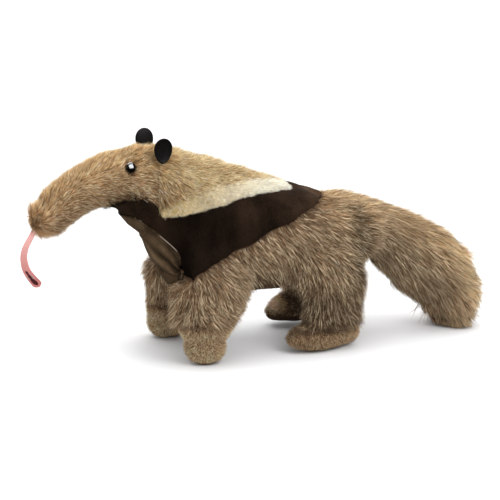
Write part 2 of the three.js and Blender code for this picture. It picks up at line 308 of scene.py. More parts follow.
eye_centre = mm([-148, 24.5, 204])
form_edges = edges_of(form_faces)
form_fabric = fabric_of(form)
face_fabric = fabric_of(form[form_faces].mean(1))
form_seams = seam_fields(form)
depth = relaxed(pile_depth[form_fabric] + mm(3.5) * rise(form[:, 0], 120, 50), form_edges, 22)
for seam, width, sunk in (("pale", 1.6, 5), ("over_band", 1.3, 4), ("neck", 2.4, 4)):
    depth += mm(1.2) * made_of(form_fabric, *fabrics[:sunk]) * bell(form_seams[seam], width)
depth *= 1 - 0.55 * bell(from_eye(form), 8)
depth *= 1 - 0.45 * rise(form[:, 0], -228, -15)
depth *= np.clip(form[:, 2] / mm(9), 0.1, 1)
skin_flat = form - normals_of(form, form_faces) * depth[:, None]


# The stuffing's dents and the fabric's folds
# The filling pushes the cover out unevenly, the eyes are pulled in by their stems, and the chest panel, cut
# wide, is tucked in pleats that run from the throat to the root of the left front leg.
def waves(points, size, seed, count=9):
    """Smooth noise about -1 to 1: the mean of sine waves of one length in many directions."""
    rng = np.random.default_rng(seed)
    ways = rng.normal(size=(count, 3))
    ways *= 2 * np.pi / size / np.linalg.norm(ways, axis=1, keepdims=True)
    ways *= rng.uniform(0.7, 1.3, (count, 1))
    phases = rng.uniform(0, 2 * np.pi, count)
    return np.sin(points @ ways.T + phases).sum(1) / np.sqrt(count)


def profile(value, places, heights):
    """Heights along a broken line through places, all in millimetres."""
    return np.interp(value, mm(places), mm(heights))


def distance(points, *place):
    """The distance from a place given in millimetres."""
    return np.linalg.norm(points - mm(place), axis=1)


fold_focus = mm([36, 76])
middle_line = mm([(-245, 148), (-204, 172.5), (-157, 188.5), (-128, 182.5), (-74, 142.5), (-41, 126),
                  (12, 115), (98, 112), (127.5, 115.5), (150, 102), (174, 83.5), (199, 63), (217.5, 42),
                  (240, 16)])
pleat_turns, pleat_widths, pleat_heights = (0.5, 0.98, 1.33), mm([6, 7, 4.5]), mm([1.6, 2.6, 1.5])
mouth_line = [(143, -246), (158, -243), (168, -237), (172, -234)]


def over_middle(points):
    """The height above the toy's middle line."""
    return points[:, 2] - np.interp(points[:, 0], *middle_line.T)


def mouth_dent(points):
    """From 0 to 1 on the line where the mouth is stitched in, on both sides of the snout's end."""
    x, _, z = points.T
    return rise(z, mouth_line[0][0], 4) * rise(z, mouth_line[-1][0], -4) * bell(over(mm(mouth_line), x, z), 2)


def pleats(points):
    """Height of the chest panel's tucks: each runs straight out from a leg's inner top corner at its own
    turn, raised on the side of the middle and sunk beyond the edge, and dies out within its width."""
    _, y, z = points.T
    inward, upward = fold_focus[0] - abs(y), z - fold_focus[1]
    turn = np.arctan2(upward, inward) + 0.07 * waves(points, mm(36), 8)
    away = np.hypot(inward, upward)
    total = 0
    for at, width, height in zip(pleat_turns, pleat_widths, pleat_heights):
        past = (turn - at) * away
        total = total - height * np.tanh(past / mm(0.9)) * np.exp(-(past / width) ** 2)
    return total * np.clip(away / mm(12), 0, 1) * np.exp(-(away / mm(58)) ** 3)


def snout_swell(points):
    """The snout's filling: full at the lip, chin and bridge, slim above the lip and at the jaw."""
    bumps = sum(mm(height) * bell(distance(points, x, 0, z), size) for x, z, size, height in (
        (-248, 149, 10.5, 6.4), (-244, 173, 9, -3.2), (-238, 139, 10, 2.4), (-218, 142, 9, -2.5)))
    bridge = profile(points[:, 0], [-242, -230, -185, -165, -150, -135], [0, 1.3, 1.3, 0.3, -0.8, 0])
    return bumps + bridge * rise(over_middle(points), 6, 8)


def tail_swell(points):
    """The tail's filling: fuller under its root, slimmer in the crotch and near the floor, and fuller at the
    back above and below its middle."""
    x, _, z = points.T
    below = rise(over_middle(points), 0, -15)
    under = profile(x, [114, 122, 142, 156, 175, 205, 220], [0, 1.5, 4, 1.5, -1, -4, 0])
    crotch = mm(5) * bell(np.hypot(x - mm(116), z - mm(86)), 9)
    back = profile(z, [5, 20, 30, 45, 55, 64, 72, 78, 86, 96, 106],
                   [0, 5.5, 5.5, 1, -1.5, -1, 1.5, 5, 7, 6, 0])
    corner = mm(8) * rise(z, 24, -16) * rise(x, 222, -20)
    return (under - corner * (x > mm(150))) * below - crotch + back * rise(x, 222, 12)


def leg_swell(points):
    """The legs' filling: a full heel on the left hind leg, a full shoulder and foot on the right front leg,
    and a deep sole and a blunt toe on the right hind foot, which is off the floor."""
    x, y, z = points.T
    heel = profile(z, [10, 25, 38, 46, 56, 64, 76, 84], [4, 4, 2.5, 0.8, 0.8, 1.8, 1.8, 0])
    heel = heel * rise(x, 76, 12) * (y < 0) * (x < mm(112))
    shoulder, toe = bell(distance(points, -100, 54, 84), 16), bell(distance(points, 36, 56, 9), 10)
    sole = rise(z, 20, -6) * rise(x, 24, 10) * (y > 0) * (x < mm(130))
    outer = rise(x, -82, -8) * rise(z, 42, -8) * (y > 0)
    return heel + mm(5) * shoulder + mm(4.5) * toe + mm(3.2) * sole + mm(2.4) * outer


def tail_joint(points, width):
    """From 0 to 1 near the seam that sews the tail to the hips, deepest at the sides."""
    x, y, z = points.T
    return rise(z, 156, -16) * rise(z, 66, 20) * bell(x - mm(99), width) * rise(abs(y), 8, 12)


def folds(points, fabric, seams):
    """How far the filling and the folds push the fabric out: slow swelling, a rounded band, a few soft folds
    over the shoulder, and the chest's pleats; inwards at the mouth, below the ear and at the tail."""
    x, _, z = points.T
    push = mm(0.6) * waves(points, mm(46), 3)
    edge = np.clip(np.minimum(abs(seams["over_band"]), abs(seams["pale"])) / mm(4.5), 0, 1)
    push += made_of(fabric, "band_left", "band_right") * mm(2.0) * np.sqrt(1 - (1 - edge) ** 2)
    throat = profile(z, [84, 100, 112, 122, 130, 140, 152, 160], [2.4, 1.6, 0, -1.6, -1.0, 2.0, 2.6, 1.6])
    push += made_of(fabric, "panel") * (x < mm(-80)) * (pleats(points) + throat)
    over_back = mm(0.9) * (1 + rise(x, 20, 40))
    push += made_of(fabric, "yoke") * over_back * waves(points * [1, 1, 0.3], mm(30), 12)
    below_ear = bell(x - crease_x, 4) * rise(z, 208, -10)
    push -= (seams["pale"] > 0) * mm(1.6) * below_ear
    push += tail_swell(points) + leg_swell(points) + snout_swell(points)
    push += made_of(fabric, "neck") * mm(0.9) * waves(points, mm(22), 31)
    push += mm(1.6) * bell(x + mm(138), 16) * rise(z, 212, 8)
    return push - mm(3) * mouth_dent(points) - mm(3.6) * tail_joint(points, 7)


swell = relaxed(folds(skin_flat, form_fabric, form_seams), form_edges)
skin = skin_flat + normals_of(skin_flat, form_faces) * swell[:, None]
skin[:, 2] = np.maximum(skin[:, 2], mm(0.4))
skin_normals = normals_of(skin, form_faces)


# The cover's fabrics
# Plush is a knitted backing with a cut pile; only its backing is drawn here, in the dark of the pile's roots.
# Velour is the same with a pile of half a millimetre, brushed flat, so that it shines where it turns away.
def linear(code):
    """An sRGB colour #rrggbb as linear red, green and blue."""
    c = np.array([int(code[i:i + 2], 16) for i in (1, 3, 5)]) / 255
    return np.where(c <= 0.04045, c / 12.92, ((c + 0.055) / 1.055) ** 2.4)


def rgba(code):
    """A colour for a socket."""
    return (*linear(code), 1.0)


def feed(tree, target, inputs):
    """Gives a node its inputs: each is a value, or (node, output) for a link."""
    for key, value in dict(inputs).items():
        if isinstance(value, tuple) and isinstance(value[0], bpy.types.Node):
            tree.links.new(value[0].outputs[value[1]], target.inputs[key])
        else:
            target.inputs[key].default_value = value
    return target


def node(tree, kind, inputs=(), stops=(), **settings):
    """A new node with its settings, inputs and, on a ramp, the place and colour of each stop."""
    new = feed(tree, set_up(tree.nodes.new("ShaderNode" + kind), **settings), inputs)
    for index, (place, code) in enumerate(stops):
        set_up(new.color_ramp.elements[index], position=place, color=rgba(code))
    return new


def material(name, **surface):
    """A material with a principled surface; returns it, its tree and the surface's node."""
    new = bpy.data.materials.new(name)
    new.use_nodes = True
    tree = new.node_tree
    tree.nodes.clear()
    principled = node(tree, "BsdfPrincipled", {key.replace("_", " "): v for key, v in surface.items()})
    node(tree, "OutputMaterial", {"Surface": (principled, "BSDF")})
    return new, tree, principled


def velour(name, dark, light, sheen, nap_length, sheen_tint):
    """Brushed velour: patches where the nap leans another way, whose sheen is painted into the colour as
    upright lighter and darker streaks, and a grain of short pile, which is drawn at 0.9 mm, coarser than the
    real one, so that it shows."""
    new, tree, surface = material(name, Roughness=1.0, Sheen_Weight=sheen, Sheen_Roughness=0.35,
                                  Sheen_Tint=rgba(sheen_tint), Specular_IOR_Level=0.02)
    place = node(tree, "TexCoord")
    stretch = node(tree, "Mapping", {"Vector": (place, "Object"), "Scale": (1, 1, 0.45)})
    # nap: painted sheen, the nap's patches stretched upright as lighter and darker colour.
    nap = node(tree, "TexNoise", {"Vector": (stretch, "Vector"), "Scale": 1 / mm(nap_length), "Detail": 3.0})
    grain = node(tree, "TexNoise", {"Vector": (place, "Object"), "Scale": 1 / mm(0.9), "Detail": 2.0})
    both = node(tree, "Math", {0: (nap, "Fac"), 1: (grain, "Fac")}, operation="ADD")
    half = node(tree, "Math", {0: (both, 0), 1: 0.5}, operation="MULTIPLY")
    colour = node(tree, "ValToRGB", {"Fac": (half, 0)}, [(0.38, dark), (0.62, light)])
    own = node(tree, "Attribute", attribute_name="Pile")
    tint = node(tree, "VectorMath", {0: (colour, "Color"), 1: (own, "Color")}, operation="MULTIPLY")
    relief = node(tree, "Bump", {"Height": (grain, "Fac"), "Strength": 0.5, "Distance": mm(0.35)})
    feed(tree, surface, {"Base Color": (tint, "Vector"), "Normal": (relief, "Normal")})
    return new


def backing(name):
    """The knitted backing under a pile: rows of loops a millimetre apart, dark between the tufts."""
    new, tree, surface = material(name, Roughness=0.95, Specular_IOR_Level=0.1)
    place = node(tree, "TexCoord")
    loops = node(tree, "TexVoronoi", {"Vector": (place, "Object"), "Scale": 1 / mm(1.2)})
    shade = node(tree, "MapRange", {"Value": (loops, "Distance"), "To Min": 1.0, "To Max": 0.55})
    own = node(tree, "Attribute", attribute_name="Pile")
    tint = node(tree, "VectorMath", {0: (own, "Color"), "Scale": (shade, "Result")}, operation="SCALE")
    relief = node(tree, "Bump", {"Height": (loops, "Distance"), "Strength": 0.6, "Distance": mm(0.5)},
                  invert=True)
    feed(tree, surface, {"Base Color": (tint, "Vector"), "Normal": (relief, "Normal")})
    return new


def mixed(low, high, share):
    """A blend of two named colours for each place."""
    share = np.clip(share, 0, 1)[:, None]
    return linear(low) * (1 - share) + linear(high) * share


def above_middle(points, reach):
    """How far above the toy's middle line a place is, from -1 to 1 at the reach in millimetres."""
    return np.clip(over_middle(points) / mm(reach), -1, 1)


def beige(points):
    """Root, middle and tip of the head's pile: golden along the back line and greyer below, partly its own
    tone and partly painted light from above; painted shade in the crease below the ear and in the mouth's
    crease; paler at the lip, and under the jaw partly as painted light through the fibres at its edge; and on
    the neck paler, with painted shade in its rumples."""
    x, _, z = points.T
    # up: lighter towards the top, partly painted light from above.
    up = (0.5 + 0.5 * above_middle(points, 28)) ** 1.7
    # Painted shade in the crease below the ear and in the mouth's crease.
    crease = 0.42 * bell(x - crease_x, 3.5) * rise(z, 205, -10)
    dark = (1 - np.maximum(crease, 0.5 * mouth_dent(points)))[:, None]
    neck = rise(x, -118, 32)[:, None]
    # Painted shade in the rumples of the neck's pile.
    dark = dark * (1 + 0.2 * neck * waves(points, mm(13), 61)[:, None])
    # jaw: paler under the chin, partly painted light through the fibres at its edge.
    jaw = (rise(x, -212, -14) * rise(z, 149, -6))[:, None]
    end = rise(x, -228, -12)[:, None]
    middle = mixed("#654936", "#a67d50", up) * (1 - neck) + mixed("#916a4a", "#ffca88", up) * neck
    tip = mixed("#89674e", "#ddb27c", up) * (1 - neck) + mixed("#cda580", "#ffe2ac", up) * neck
    root = linear("#58412c") * (1 + 1.4 * neck + 1.6 * end)
    return root, middle * dark * (1 + 0.5 * jaw + 0.5 * end), tip * dark * (1 + 0.5 * jaw + 0.3 * end)


def cream(points):
    """Root, middle and tip of the band's pile: whiter towards the back, where it faces the light."""
    back = rise(points[:, 0], -105, 110)
    return (mixed("#a58b58", "#efe2ba", back), mixed("#ccb079", "#fdf4da", back),
            mixed("#dcc48c", "#fffcf0", back))


view_right = (0.934, -0.358, 0)


def sleeve_parting(points):
    """On the left front leg, how far to the photo's right a place is past the line where its long pile parts
    (in metres), and from 0 to 1 how near that line it is."""
    x, y, z = points.T
    past = (x + mm(78)) * view_right[0] + (y + mm(57)) * view_right[1] + mm(10.6)
    here = on_leg(points) * (nearest_leg(points) == legs.index("front_left")) * rise(z, 74, -16)
    here = here * (y < mm(-57)) * rise(z, 38, 6)
    return past, here * bell(past, 2.2)


def brown(points):
    """Root, middle and tip of the body's pile: warm and pale on the rump and on top of the tail, partly its
    own tone and partly painted light from above and through the fringe; paler on the tail's end, with more
    painted light at its lower edge, and on the feet; darker down the hind legs; painted shade at the tail's
    joint, on the belly, in the groin, between the legs under the body, under the sleeves and in the left
    sleeve's parting; painted rim light on the fronts of the right legs; and on the lifted foot painted light
    only in front and above, with painted shade below."""
    x, y, z = points.T
    end = rise(x, 185, 45)
    leg, nearest = on_leg(points), nearest_leg(points)
    # warm: paler and warmer on top of the rump and tail, partly its own tone and partly painted light.
    warm = np.clip(1.5 * rise(x, 48, 36) * np.clip(above_middle(points, 42), 0, 1), 0, 1)
    foot = rise(above_ankle(points), 0, -6) * leg
    # Painted shade under the sleeves' loose edge, on top of the foot.
    under_sleeve = rise(above_ankle(points), -12, 9) * leg
    # Darker down the hind legs; paler feet and tail's end, with more painted light at the tail's lower edge.
    light = (1 - 0.5 * leg * (x > 0) * rise(z, 84, -25) * (1 - foot) + 0.04 * leg * (x < 0)
             + np.where(x < 0, 1.9, 1.25) * foot + 1.2 * end * np.maximum(rise(z, 64, -24), 0.25))
    light = light * (1 - 0.85 * under_sleeve * foot)
    # On the lifted foot: painted rim light in front and above, painted shade below.
    lifted = foot * (nearest == legs.index("hind_right"))
    lit = np.maximum(rise(x, 54, -16), rise(z, 32, 8)) * rise(z, 15, 4)
    warm = np.maximum(warm, 0.7 * lifted * lit)
    light = light * (1 + 0.8 * lifted * lit) * (1 - 0.75 * lifted * (1 - lit))
    # Painted shade in the groin and in the left sleeve's parting.
    groin = bell(x - mm(14), 28) * rise(z, 95, -16) * (1 - foot)
    light = light * (1 - 0.6 * sleeve_parting(points)[1]) * (1 - 0.35 * groin)
    # Painted rim light on the fronts of the right legs.
    rim = leg * (y > 0) * rise(x - leg_centres[nearest][:, 0], -20, -10)
    light = light * (1 + 0.5 * rim * (z > mm(20)))
    # Painted shade on the belly, at the tail's joint and between the legs under the body.
    belly = rise(z, 98, -14) * (1 - leg) * rise(abs(x), 60, -20)
    light = light * (1 - 0.8 * tail_joint(points + mm([8, 0, 0]), 15)) * (1 - 0.8 * belly)
    inside = rise(abs(y), 26, -16) * rise(x, 60, -20)
    side_of_tail = rise(x, 110, 15) * (1 - end) * (1 - warm)
    light = light * (1 - 0.6 * inside * rise(z, 104, -16)) * (1 - 0.2 * side_of_tail)
    light = light[:, None]
    middle = mixed("#765b43", "#b48c62", warm) * light
    tip = mixed("#a88c6e", "#f4d4a6", warm + 0.15 * end) * light
    return np.broadcast_to(linear("#33251a"), middle.shape), middle, tip


def yoke_tone_and_light(points):
    """A factor on the velour's colour: nearly black in front, a little lighter at the throat, and browner
    behind, where painted light stands for the light the yoke catches as it turns up over the back.
    """
    return np.interp(points[:, 0], mm([-135, -100, -40, 20, 60]), [1.0, 0.35, 0.75, 1.15, 2.3])


def pleat_light_and_shade(points):
    """A factor on the velour's colour: painted highlights on the pleats' rounded edges and painted shade in
    the pockets beside them.
    """
    return 0.85 + 0.45 * np.clip(pleats(points) / mm(1.6), -1.6, 1.6)


def finer(points, faces):
    """Each triangle as four, with new corners at the middles of its edges."""
    pairs, place = edges_of(faces, return_inverse=True)
    ab, bc, ca = (place.ravel().reshape(-1, 3) + len(points)).T
    a, b, c = faces.T
    four = [np.stack(three, 1) for three in ((a, ab, ca), (ab, b, bc), (ca, bc, c), (ab, bc, ca))]
    return np.concatenate([points, points[pairs].mean(1)]), np.concatenate(four)


def rim_of(faces, count):
    """Which corners lie on an edge that only one triangle has."""
    pairs, times = edges_of(faces, return_counts=True)
    rim = np.zeros(count, bool)
    rim[pairs[times == 1]] = True
    return rim


def paint(piece, colours):
    """Keeps a colour for each corner of the mesh as the attribute Pile."""
    attribute = piece.data.attributes.new("Pile", "FLOAT_COLOR", "POINT")
    full = np.concatenate([colours, np.ones((len(colours), 1))], 1)
    attribute.data.foreach_set("color", full.astype(np.float32).ravel())


def fitted(piece, finish, nodes=None):
    """A finished piece with its material, on the toy's one body, in place of its solids."""
    piece.data.materials.append(finish)
    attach(piece, "root")
    if nodes is not None:
        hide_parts(*nodes)
    return piece


def cover(fabric, slot, nodes, tone, thickness=1.2):
    """One sewn piece of the cover: the skin's triangles of one fabric, given the fabric's thickness.

    A backing is painted like its pile's roots with a little of their middles. Velour has no pile to hide its
    folds' facets, so its triangles are divided, relaxed and folded anew, and its colour is its tone's painted
    light and shade."""
    used, faces = np.unique(form_faces[made_of(face_fabric, fabric)], return_inverse=True)
    faces, points = faces.reshape(-1, 3), skin[used]
    if slot.endswith("velour"):
        points, faces = finer(skin_flat[used], faces)
        held = rim_of(faces, len(points))[:, None]
        points = np.where(held, points, relaxed(points, edges_of(faces), 3))
        push = folds(points, np.full(len(points), fabrics.index(fabric)), seam_fields(points))
        points = points + normals_of(points, faces) * push[:, None]
        colours = np.repeat(tone(points)[:, None], 3, axis=1)
    else:
        root, middle, _ = tone(points)
        colours = 0.65 * root + 0.35 * middle
    piece = mesh_object(f"cover_{fabric}", points, faces)
    paint(piece, colours)
    set_up(piece.modifiers.new("fabric", "SOLIDIFY"), thickness=mm(thickness), offset=-1)
    fitted(piece, cloths[slot], nodes)


cloths = {f"{tone}_plush": backing(f"{tone}_plush_backing") for tone in ("beige", "cream", "brown")}
cloths["dark_velour"] = velour("dark_brown_velour", "#0e0905", "#2c2017", 0.05, 26, "#8a705a")
cloths["taupe_velour"] = velour("taupe_velour", "#2c2116", "#574735", 0.08, 14, "#b09a80")
cover("head", "beige_plush", ["snout", "head"], beige)
cover("neck", "beige_plush", ["neck"], beige)
cover("band_left", "cream_plush", ["band_left"], cream)
cover("band_right", "cream_plush", ["band_right"], cream)
cover("yoke", "dark_velour", ["yoke"], yoke_tone_and_light)
cover("panel", "taupe_velour", ["chest"], pleat_light_and_shade)
cover("body", "brown_plush", ["trunk", "hindquarters", "tail_root", "tail_middle", "tail_end"]
      + [f"leg_{leg}" for leg in legs], brown)
cover("feet", "brown_plush", [f"foot_{leg}" for leg in legs], brown)
cover("soles", "brown_plush", [], brown)


# The pile
# A tuft is a thin three-sided blade that leaves the backing steeply and bends over to lie along the coat. Its
# colour runs from the dark root to the pale tip and is kept in the mesh as the attribute Pile; the tips'
# paleness is partly painted light, for the light that comes through the fibres at the coat's edges.
def lie_of(points):
    """The way the pile is brushed: along the toy's middle line and down, on the legs straight down, and at
    the ends of the snout and the tail outwards from the middle line."""
    x, y, z = points.T
    ahead, behind = (np.interp(np.minimum(x, mm(230)) + shift, *middle_line.T) for shift in (mm(8), mm(-8)))
    slope = (ahead - behind) / mm(16)
    along = np.stack([np.ones_like(x), 0 * y, slope], 1) / np.hypot(1, slope)[:, None]
    along[:, 2] -= np.interp(x, mm([-240, -150, -117, -60, 0, 90, 125, 170]),
                             [0.05, 0.15, 0.4, 0.8, 1.2, 1.1, 0.5, 0.18])
    away = np.stack([0 * x, y, np.minimum(z - mm(157), mm(3))], 1) / mm(16)
    along += 0.4 * away * rise(x, -226, -20)[:, None]
    fan = np.stack([0 * x, y, np.minimum(over_middle(points), mm(18))], 1) / mm(36)
    along += 0.45 * fan * rise(x, 165, 40)[:, None]
    leg, nearest, above = on_leg(points)[:, None], nearest_leg(points), above_ankle(points)
    outward = np.concatenate([points[:, :2] - leg_centres[nearest], np.zeros((len(points), 1))], 1) / mm(40)
    foot = rise(above, 0, -10)[:, None]
    hem = np.clip(1 - abs(above - mm(6)) / mm(10), 0, 1)[:, None]
    down = np.array([0.12, 0, -1.0]) + outward * (0.45 - 0.25 * hem + 0.7 * foot)
    way = along * (1 - leg) + (down - np.array([0.3, 0, 0]) * foot) * leg
    split = np.tanh(sleeve_parting(points)[0] / mm(5)) * rise(z, 80, -20)
    split = split * (nearest == legs.index("front_left"))
    way += 0.55 * split[:, None] * leg * np.array(view_right)
    for axis, seed in enumerate((21, 22, 23)):
        way[:, axis] += 0.13 * waves(points, mm(34), seed) + 0.1 * waves(points, mm(10), seed + 9)
    return unit(way)


def unwrap(points):
    """A flat map of the skin: the turn about the middle line, or about a leg, against the length along it."""
    x, y, z = points.T
    turn = np.arctan2(y, over_middle(points)) / (2 * np.pi) + 0.5
    length = (x + mm(260)) / mm(520)
    index = nearest_leg(points)
    out_x, out_y = (points[:, :2] - leg_centres[index]).T
    leg_turn = np.arctan2(out_y, out_x) / (2 * np.pi) + 0.5
    body_map = np.stack([0.01 + 0.58 * turn, 0.01 + 0.98 * length], 1)
    leg_map = np.stack([0.62 + 0.36 * leg_turn, (index + 0.04 + 0.9 * np.clip(z / mm(115), 0, 1)) / 4], 1)
    return np.where(on_leg(points)[:, None] > 0.5, leg_map, body_map)


def on_skin(corners, weights):
    """Places on triangles of the skin, and their unit normals, by the shares of the triangles' corners."""
    weights = weights[:, :, None]
    return (skin[corners] * weights).sum(1), unit((skin_normals[corners] * weights).sum(1))


def scattered(fabric_name, density, rng):
    """Random places on a fabric, density of them on a square millimetre: place, normal, pile depth."""
    faces = form_faces[made_of(face_fabric, fabric_name)]
    a, b, c = skin[faces].transpose(1, 0, 2)
    area = np.linalg.norm(np.cross(b - a, c - a), axis=1) / 2
    count = int(area.sum() * 1e6 * density)
    chosen = faces[rng.choice(len(faces), count, p=area / area.sum())]
    u, v = rng.random((2, count))
    flip = u + v > 1
    u, v = np.where(flip, 1 - u, u), np.where(flip, 1 - v, v)
    weights = np.stack([1 - u - v, u, v], 1)
    return *on_skin(chosen, weights), (depth[chosen] * weights).sum(1)


def picked(own, *arrays):
    """The arrays' rows that are chosen by a mask."""
    return [array[own] for array in arrays]


root_depth, lowest_tuft, patch_half = mm(0.6), mm(0.3), mm(1.5)


def blades(place, normal, way, length, height, width, bent, bend):
    """Tufts as closed three-sided blades, their corners and triangles.

    A ring of three corners stands at the root, a little under the backing; a bent tuft has a second ring
    where it turns down towards the skin; the last corner is the tip. Length and height give the angle."""
    lean = (way * normal).sum(1, keepdims=True)
    flat = unit(way - lean * normal, 1e-3)
    stand = np.arcsin(np.clip(height / length, 0.05, 0.95)) + 0.7 * np.clip(lean[:, 0], 0, 1)
    length = np.minimum(length, 1.2 * height / np.sin(stand))
    side = np.cross(normal, flat)
    line = [place - normal * root_depth]
    for share, turn, swing in ((0.45, 0.34, -0.4), (0.55, -0.28, 0.9)) if bent else ((1.0, 0.0, 0.3),):
        angle = np.clip(stand + turn, -0.12, 1.5)[:, None]
        onward = flat * np.cos(angle) + normal * np.sin(angle) + side * (bend * swing)[:, None]
        line.append(line[-1] + onward * (length * share)[:, None])
    drop = place[:, 2] - np.min([point[:, 2] for point in line], axis=0)
    kept = np.clip((place[:, 2] - mm(0.4)) / np.maximum(drop, mm(0.1)), 0.12, 1)[:, None]
    line = [line[0] + (point - line[0]) * kept for point in line]
    corners = []
    for centre, share in zip(line[:-1], (0.8, 1.0) if bent else (1.0,)):
        half = (width * share / 2)[:, None]
        corners += [centre - side * half, centre + side * half, centre + normal * half * 0.7]
    corners = np.stack(corners + [line[-1]], 1)
    corners[:, :, 2] = np.maximum(corners[:, :, 2], lowest_tuft)
    size = corners.shape[1]
    faces = [(0, 2, 1)]
    for ring in range(0, size - 4, 3):
        for i, j in ((0, 1), (1, 2), (2, 0)):
            faces += [(ring + i, ring + j, ring + j + 3), (ring + i, ring + j + 3, ring + i + 3)]
    faces += [(size - 4 + i, size - 4 + j, size - 1) for i, j in ((0, 1), (1, 2), (2, 0))]
    return corners, (np.array(faces)[None] + size * np.arange(len(place))[:, None, None]).reshape(-1, 3)


def pile_material(name, sheen_tint, sheen=0.2):
    """Cut polyester pile: soft, hardly glossy fibres that glow a little where the light comes past them."""
    new, tree, surface = material(name, Roughness=0.9, Sheen_Weight=sheen, Sheen_Roughness=0.45,
                                  Sheen_Tint=rgba(sheen_tint), Specular_IOR_Level=0.05)
    feed(tree, surface, {"Base Color": (node(tree, "Attribute", attribute_name="Pile"), "Color")})
    return new


def patches(place, outline):
    """For each tuft a small patch on the skin's flat map, with the given outline in half patches."""
    return (unwrap(place)[:, None] + patch_half * np.array(outline)[None]).reshape(-1, 2)


def tufts(roots, length, width, bent, tone, rng, hairs, spread=0.2, tall=1.0, stray=0.1):
    """Painted tufts at the roots, each with its patch on the flat map of the skin.

    hairs are the shares and tones of single dark hairs and pale hairs, which also stand a little prouder; the
    pale hairs are partly painted light, for the glow through fibres at the coat's edges."""
    place, normal, deep = roots
    count = len(place)
    way = lie_of(place) + rng.normal(0, stray, (count, 3))
    kind = rng.random(count)
    dark_share, dark_hair, pale_share, pale_hair = hairs
    is_dark, is_pale = kind < dark_share, kind > 1 - pale_share
    guard = np.where(is_dark | is_pale, 1.0, 0.0)
    long = length * rng.uniform(0.75, 1.15, count) * (1 + 0.08 * waves(place, mm(9), 40)) * (1 + 0.1 * guard)
    height = deep * tall * rng.uniform(0.65, 1.15, count) * (1 + 0.12 * waves(place, mm(9), 41))
    height *= 1 + 0.2 * guard
    wide = width * rng.uniform(0.7, 1.25, count)
    points, faces = blades(place, normal, way, long, height, wide, bent, rng.normal(0, 0.13, count))
    root, middle, tip = tone(place)
    for chosen, code in ((is_dark[:, None], dark_hair), (is_pale[:, None], pale_hair)):
        middle = np.where(chosen, 0.5 * middle + 0.5 * linear(code), middle)
        tip = np.where(chosen, linear(code), tip)
    mottle = 0.1 * waves(place, mm(22), 50) + 0.12 * waves(place, mm(5), 51)
    strength = np.exp(rng.normal(0, spread, count) + mottle)[:, None, None]
    rings = (root, middle) if bent else (0.5 * root + 0.5 * middle,)
    colours = np.stack([ring for ring in rings for _ in range(3)] + [tip], 1)
    outline = [(x, -1 + 1.2 * ring) for ring in range(len(rings)) for x in (-1, 1, 0)] + [(0, 1)]
    return (points.reshape(-1, 3), faces, np.clip(colours * strength, 0, 1).reshape(-1, 3),
            patches(place, outline))


def coat(name, kinds, finish):
    """A coat piece: one mesh of several kinds of tufts, with their colours and their flat map."""
    piece = mesh_object(name, *joined(kinds))
    paint(piece, np.concatenate([colours for _, _, colours, _ in kinds]))
    flat = np.concatenate([flat for *_, flat in kinds])
    uv = piece.data.uv_layers.new(name="OFBake")
    corners = read(piece.data.loops, "vertex_index", 1, np.int32)[:, 0]
    uv.data.foreach_set("uv", flat[corners].astype(np.float32).ravel())
    fitted(piece, finish)


# The head's and the neck's pile
# A beige pile of about eight millimetres, brushed back from the snout. It is golden on top, partly from its
# light fibres and partly as painted light from above, greyer on the cheeks, and parted at the crease where
# the neck's piece is sewn to the head's.
beige_pile = pile_material("beige_plush_pile", "#e8c592")
beige_hairs = (0.16, "#4a3520", 0.18, "#f0d8ae")
neck_hairs = (0.22, "#6b4829", 0.24, "#fbdcab")
for name, fabric, low, high in (("coat_snout", "head", -300, -183), ("coat_head", "head", -183, -100),
                                ("coat_neck_front", "neck", -130, -72), ("coat_neck_back", "neck", -72, 60)):
    rng = np.random.default_rng(len(name))
    place, normal, deep = scattered(fabric, 2.2, rng)
    own = (place[:, 0] > mm(low)) & (place[:, 0] <= mm(high)) & (from_eye(place) > mm(5.6))
    place, normal, deep = picked(own, place, normal, deep)
    x, _, z = place.T
    ahead = np.clip((eye_centre[0] + mm(2) - x) / mm(6), 0, 1)
    short = 1 - ahead * (1 - np.clip((from_eye(place) - mm(4.5)) / mm(9), 0.25, 1))
    short *= 1 - 0.7 * mouth_dent(place)
    tip_end = 1 + (0.35 + 0.6 * rise(z, 150, -8)) * rise(x, -214, -16)
    tip_end += 0.5 * rise(x, -236, -10)
    if fabric == "neck":
        on_neck, length, width, *look = rise(x, -118, 12), 10, 0.8, neck_hairs, 0.42
    else:
        on_neck, length, width, *look = 0.3, 8.5, 0.66, beige_hairs, 0.33
    prouder = tip_end * (1 + 0.4 * on_neck * np.clip(normal[:, 2], 0, 1))
    coat(name, [tufts((place, normal, deep * prouder * np.sqrt(short)), mm(length) * short * np.sqrt(prouder),
                      mm(width), False, beige, rng, *look, 1.05, 0.16)], beige_pile)


# The shoulder band's pile
# A cream strip on each side with a short dense pile of five millimetres, which ends in a point on the back.
cream_pile = pile_material("cream_plush_pile", "#fff0cc")
cream_hairs = (0.05, "#b9a273", 0.1, "#fffaf0")
for side in ("left", "right"):
    rng = np.random.default_rng(60 + len(side))
    roots = scattered(f"band_{side}", 2.6, rng)
    coat(f"coat_band_{side}", [tufts(roots, mm(5), mm(0.66), False, cream, rng, cream_hairs, 0.1)],
         cream_pile)


# The body's, legs' and tail's pile
# A brown pile of about two centimetres with dark roots, mixed with nearly black and nearly white fibres. It
# falls down the flanks and legs, where it ends in a loose edge over the foot, and is longest on the tail.
brown_pile = pile_material("brown_plush_pile", "#d9bd97")
brown_hairs = (0.16, "#3d2c1e", 0.16, "#d9c4a3")
